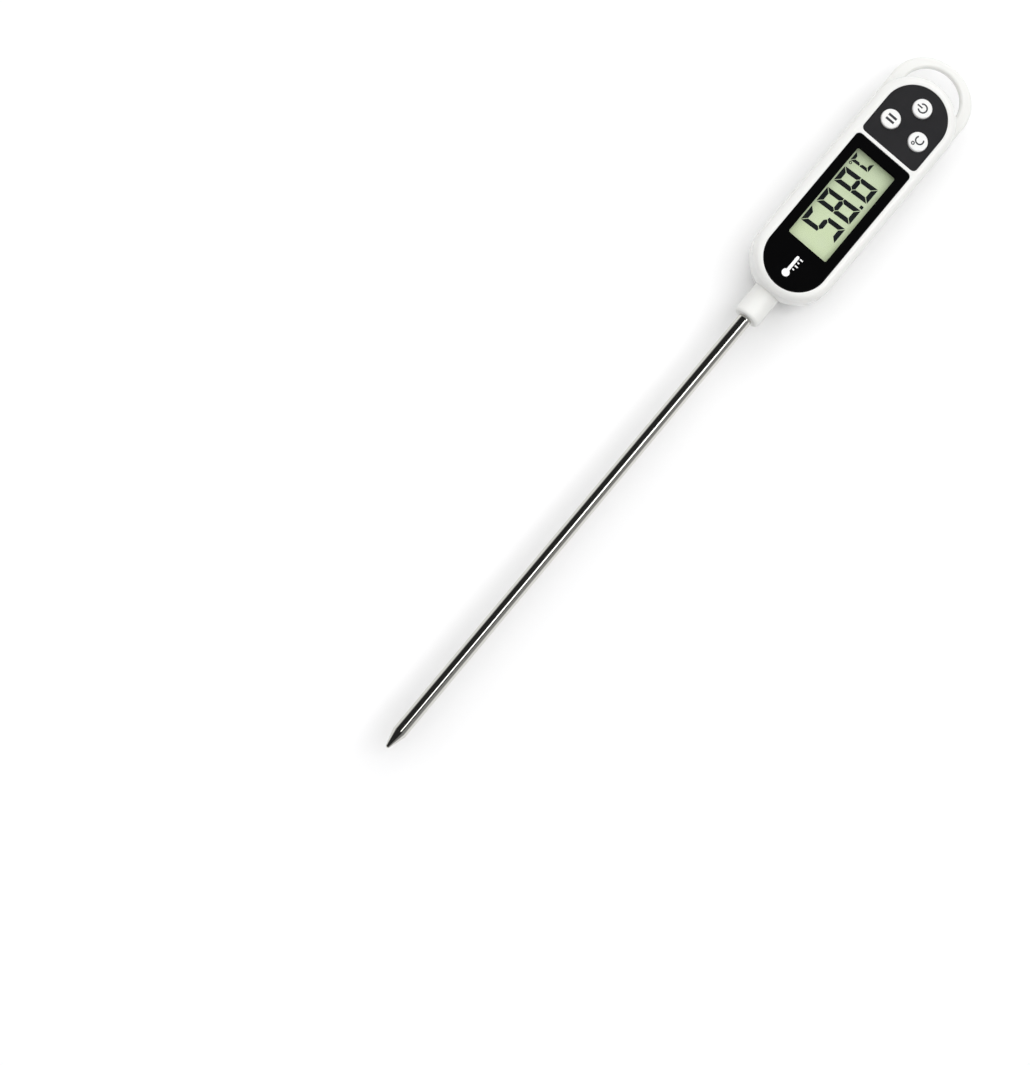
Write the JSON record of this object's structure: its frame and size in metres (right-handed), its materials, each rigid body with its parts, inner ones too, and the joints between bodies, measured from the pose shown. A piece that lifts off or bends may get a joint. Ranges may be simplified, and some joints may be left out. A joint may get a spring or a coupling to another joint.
{
  "type": "pen probe thermometer",
  "caption": "Pen-shaped digital probe thermometer: flat white case with a display, round keys and hanging loop, on a long thin steel stem.",
  "frame": {"origin": "under the middle of the whole length, on the flat back of the case", "axes": "+X across the case, +Y from the probe tip to the hanging loop, +Z out of the display"},
  "size_m": [0.023, 0.2314, 0.0181],
  "materials": {
    "shell_white": "gloss",
    "shell_white_back": "gloss",
    "lid_white": "gloss",
    "collar_white": "satin",
    "screw_steel": "zinc plated",
    "lens_acrylic": "clear with black print",
    "panel_charcoal": "fine texture",
    "tape_black": "matt",
    "silicone_grey": "matt",
    "lcd_film": "satin",
    "lcd_glass": "clear",
    "lcd_reflector": "pearl",
    "holder_white": "matt",
    "zebra_rubber": "matt",
    "board_green": "solder resist",
    "epoxy_black": "gloss",
    "crystal_can": "satin",
    "chip_ceramic": "matt",
    "cell_steel": "satin",
    "contact_nickel": "nickel plated",
    "stem_steel": "polished",
    "tip_steel": "polished",
    "ring_brass": "turned",
    "bead_glass": "clear",
    "lead_insulation": "satin",
    "sleeve_clear": "satin",
    "resin_grey": "matt",
    "solder": "bright",
    "key_white": "satin",
    "pill_carbon": "matt",
    "readout_dark": "liquid crystal",
    "print_dark": "ink",
    "print_white": "ink"
  },
  "bodies": {
    "case": {"front_shell": "shell_white", "back_shell": "shell_white_back", "nose_collar": "collar_white", "case_screws": "screw_steel", "display_lens": "lens_acrylic", "keypad_bezel": "panel_charcoal", "panel_tapes": "tape_black", "keypad_mat": "silicone_grey", "lcd_front_polarizer": "lcd_film", "lcd_front_glass": "lcd_glass", "lcd_back_glass": "lcd_glass", "lcd_reflector": "lcd_reflector", "lcd_holder": "holder_white", "zebra_strips": "zebra_rubber", "circuit_board": "board_green", "board_screws": "screw_steel", "chip_blob": "epoxy_black", "clock_crystal": "crystal_can", "small_parts": "chip_ceramic", "button_cell": "cell_steel", "battery_contact_positive": "contact_nickel", "battery_contact_negative": "contact_nickel", "probe_tube": "stem_steel", "probe_tip": "tip_steel", "retaining_ring": "ring_brass", "thermistor_bead": "bead_glass", "thermistor_leads": "lead_insulation", "lead_sleeve": "sleeve_clear", "tip_fill": "resin_grey", "solder_joints": "solder"},
    "key_power_button": {"key_power": "key_white", "pill_power": "pill_carbon"},
    "key_hold_button": {"key_hold": "key_white", "pill_hold": "pill_carbon"},
    "key_unit_button": {"key_unit": "key_white", "pill_unit": "pill_carbon"},
    "battery_lid_slide": {"battery_lid": "lid_white"}
  },
  "joints": [
    {"name": "press_power", "type": "slide", "parent": "case", "child": "key_power_button", "axis": [0, 0, -1], "range_m": [0, 0.0005], "stiffness_N_per_m": 1200},
    {"name": "press_hold", "type": "slide", "parent": "case", "child": "key_hold_button", "axis": [0, 0, -1], "range_m": [0, 0.0005], "stiffness_N_per_m": 1200},
    {"name": "press_unit", "type": "slide", "parent": "case", "child": "key_unit_button", "axis": [0, 0, -1], "range_m": [0, 0.0005], "stiffness_N_per_m": 1200},
    {"name": "slide_battery_lid", "type": "slide", "parent": "case", "child": "battery_lid_slide", "axis": [0, 1, 0], "range_m": [0, 0.016]}
  ]
}
